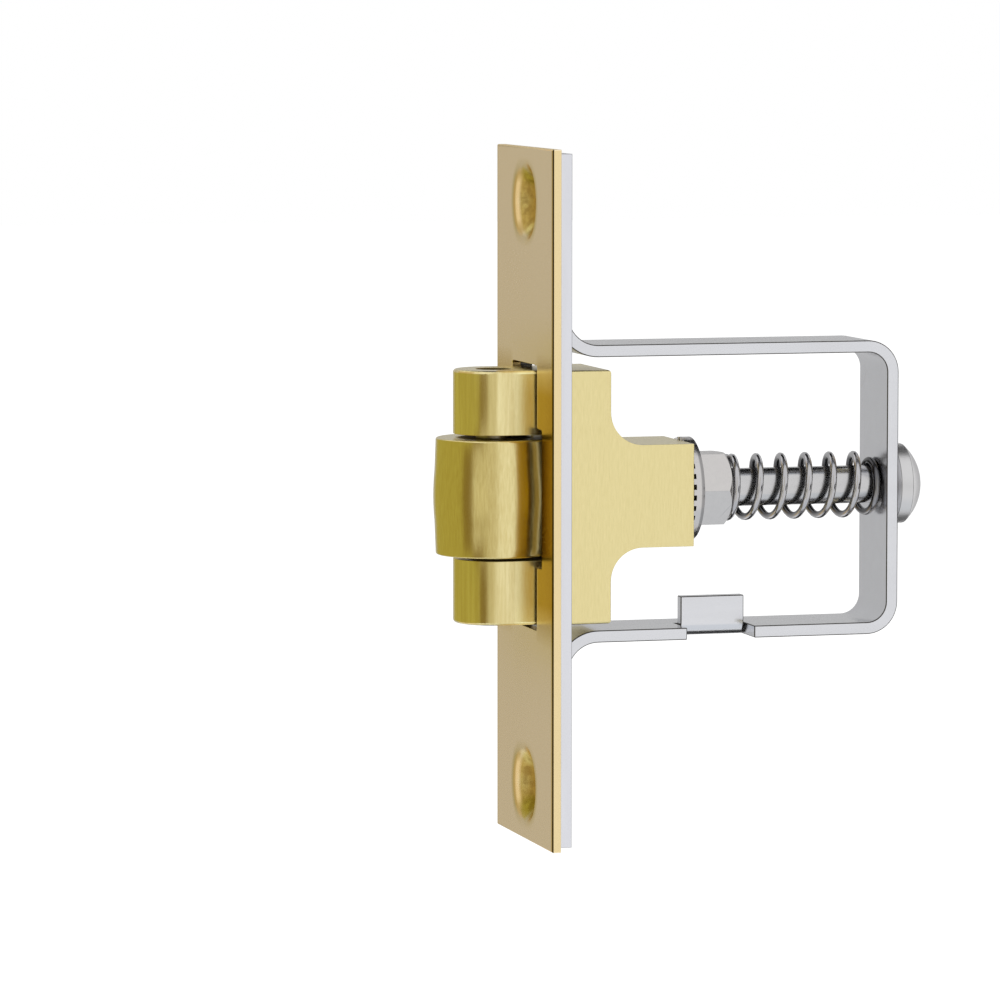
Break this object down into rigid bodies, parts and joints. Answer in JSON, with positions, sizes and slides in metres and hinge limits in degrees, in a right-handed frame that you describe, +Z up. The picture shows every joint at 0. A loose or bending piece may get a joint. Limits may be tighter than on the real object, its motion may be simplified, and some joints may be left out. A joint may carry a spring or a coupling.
{
  "type": "roller latch",
  "caption": "Adjustable roller latch for a door edge: a sprung roller in a yoke slides through a slotted faceplate and is held by a bent strap.",
  "frame": {"origin": "centre of the two screw holes, on the back face of the backing plate", "axes": "+Z up along the faceplate, +X into the door, away from the roller, +Y across the door's thickness"},
  "size_m": [0.0627, 0.0254, 0.0858],
  "materials": {
    "satin_brass": "brushed satin",
    "drawn_brass": "machined and lightly brushed",
    "sheet_steel": "bright zinc on rolled sheet",
    "bright_steel": "bright zinc",
    "spring_steel": "polished wire"
  },
  "bodies": {
    "housing": {"faceplate": "satin_brass", "back_plate": "sheet_steel", "strap": "sheet_steel", "spring": "spring_steel"},
    "plunger": {"yoke": "drawn_brass", "roller_axle": "bright_steel", "lock_nut": "bright_steel", "adjusting_screw": "bright_steel"},
    "roller": {"roller": "drawn_brass"}
  },
  "joints": [
    {"name": "plunge", "type": "slide", "parent": "housing", "child": "plunger", "axis": [1, 0, 0], "range_m": [0, 0.01], "stiffness_N_per_m": 2600, "springref_m": -0.004, "deforming": ["spring"]},
    {"name": "roller_spin", "type": "hinge", "parent": "plunger", "child": "roller", "pos_m": [-0.00655, 0, 0], "axis": [0, 0, 1], "continuous": true}
  ]
}
